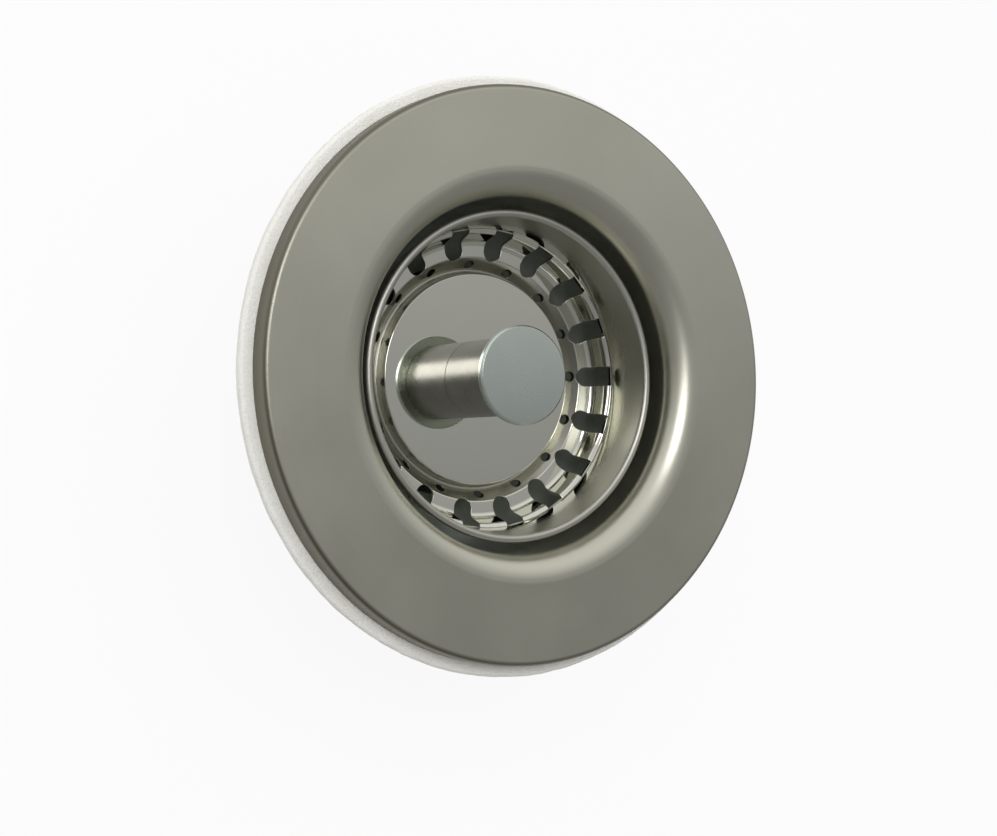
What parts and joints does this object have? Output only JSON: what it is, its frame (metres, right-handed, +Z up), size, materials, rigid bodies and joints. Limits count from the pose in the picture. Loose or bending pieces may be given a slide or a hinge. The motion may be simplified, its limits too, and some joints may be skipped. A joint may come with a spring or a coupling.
{
  "type": "sink strainer",
  "caption": "Round kitchen-sink strainer: flanged steel body with foam gasket, lock nut and threaded outlet, and a lift-out slotted basket with a post knob and rubber stopper.",
  "frame": {"origin": "on the axis at the tail end of the outlet, the lowest face of the part", "axes": "+Z up along the axis, out of the bowl; +X along one arm of the crossbar"},
  "size_m": [0.1192, 0.1192, 0.0625],
  "materials": {
    "satin_steel": "satin",
    "bright_steel": "bright drawn",
    "plated_brass": "nickel plated, satin",
    "white_foam": "closed-cell foam",
    "black_rubber": "moulded",
    "fibre": "pressed fibre",
    "grey_plastic": "moulded",
    "white_plastic": "moulded",
    "black_plastic": "moulded"
  },
  "bodies": {
    "strainer": {"strainer_body": "satin_steel", "flange_gasket": "white_foam", "outlet_neck": "plated_brass", "crossbar": "bright_steel", "catch_bush": "white_plastic"},
    "clamp_rings": {"sink_gasket": "black_rubber", "friction_washer": "fibre"},
    "nut": {"lock_nut": "grey_plastic"},
    "catch": {"catch_sleeve": "white_plastic", "catch_ring": "black_rubber"},
    "basket": {"basket_shell": "bright_steel", "knob_cap": "satin_steel", "post_sleeve": "satin_steel", "post_rod": "bright_steel", "plate_washer": "bright_steel", "spacer": "white_plastic", "stopper_backing": "bright_steel", "stopper": "black_rubber", "stopper_washer": "bright_steel", "stopper_nut": "bright_steel", "end_cap": "black_plastic"}
  },
  "joints": [
    {"name": "basket_lift", "type": "slide", "parent": "strainer", "child": "catch", "axis": [0, 0, 1], "range_m": [0, 0.06]},
    {"name": "basket_turn", "type": "hinge", "parent": "catch", "child": "basket", "pos_m": [0, 0, 0.0173], "axis": [0, 0, 1], "continuous": true},
    {"name": "nut_run", "type": "slide", "parent": "strainer", "child": "clamp_rings", "axis": [0, 0, -1], "range_m": [0, 0.008]},
    {"name": "nut_turn", "type": "hinge", "parent": "clamp_rings", "child": "nut", "pos_m": [0, 0, 0.0404], "axis": [0, 0, -1], "range_deg": [0, 1440]}
  ],
  "couplings": [
    {"joint": "nut_run", "follows": "nut_turn", "m_per_rad": 0.0003183}
  ]
}
